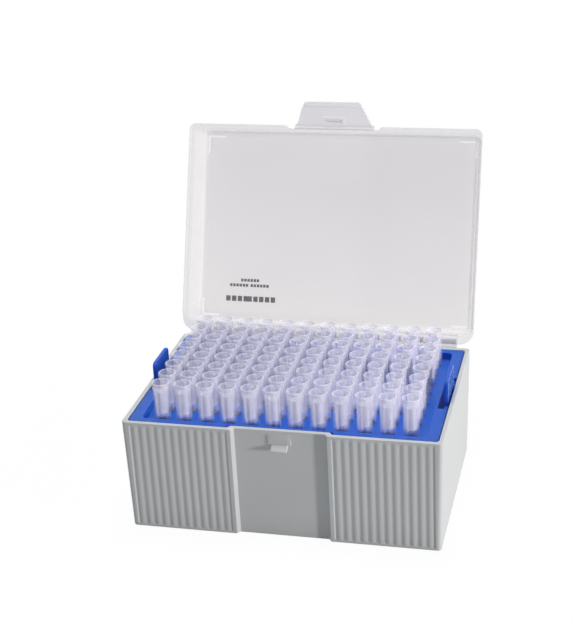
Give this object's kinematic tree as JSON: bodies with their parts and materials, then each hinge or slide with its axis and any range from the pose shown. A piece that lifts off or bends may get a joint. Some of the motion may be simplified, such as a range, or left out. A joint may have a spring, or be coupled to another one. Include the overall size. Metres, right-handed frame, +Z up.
{
  "type": "box of pipette tips",
  "caption": "Hinged rack box of filter pipette tips: ribbed base, lift-out rack holding a full grid of clear finned tips, and a clear lid with a fold-over latch tab.",
  "frame": {"origin": "middle of the base's resting face", "axes": "+X along the columns of tips to the right, +Y from the front latch to the rear hinge, +Z up"},
  "size_m": [0.1282, 0.1367, 0.1437],
  "materials": {
    "base": "moulded light grey polypropylene, fine satin",
    "rack": "moulded royal blue polypropylene, semi-gloss",
    "lid": "translucent frosted polypropylene",
    "tips": "clear polypropylene",
    "filters": "porous sintered polyethylene"
  },
  "bodies": {
    "box": {"base": "base", "rack": "rack", "tips_row_a": "tips", "tips_row_b": "tips", "tips_row_c": "tips", "tips_row_d": "tips", "tips_row_e": "tips", "tips_row_f": "tips", "tips_row_g": "tips", "tips_row_h": "tips", "filters_row_a": "filters", "filters_row_b": "filters", "filters_row_c": "filters", "filters_row_d": "filters", "filters_row_e": "filters", "filters_row_f": "filters", "filters_row_g": "filters", "filters_row_h": "filters"},
    "lid": {"lid": "lid"},
    "latch": {"latch_tab": "lid"}
  },
  "joints": [
    {"name": "lid_hinge", "type": "hinge", "parent": "box", "child": "lid", "pos_m": [0, 0.04555, 0.0488], "axis": [1, 0, 0], "range_deg": [0, 111.5]},
    {"name": "latch_fold", "type": "hinge", "parent": "lid", "child": "latch", "pos_m": [0, 0.07855, 0.13135], "axis": [1, 0, 0], "range_deg": [-35, 50], "stiffness_Nm_per_rad": 0.003}
  ]
}
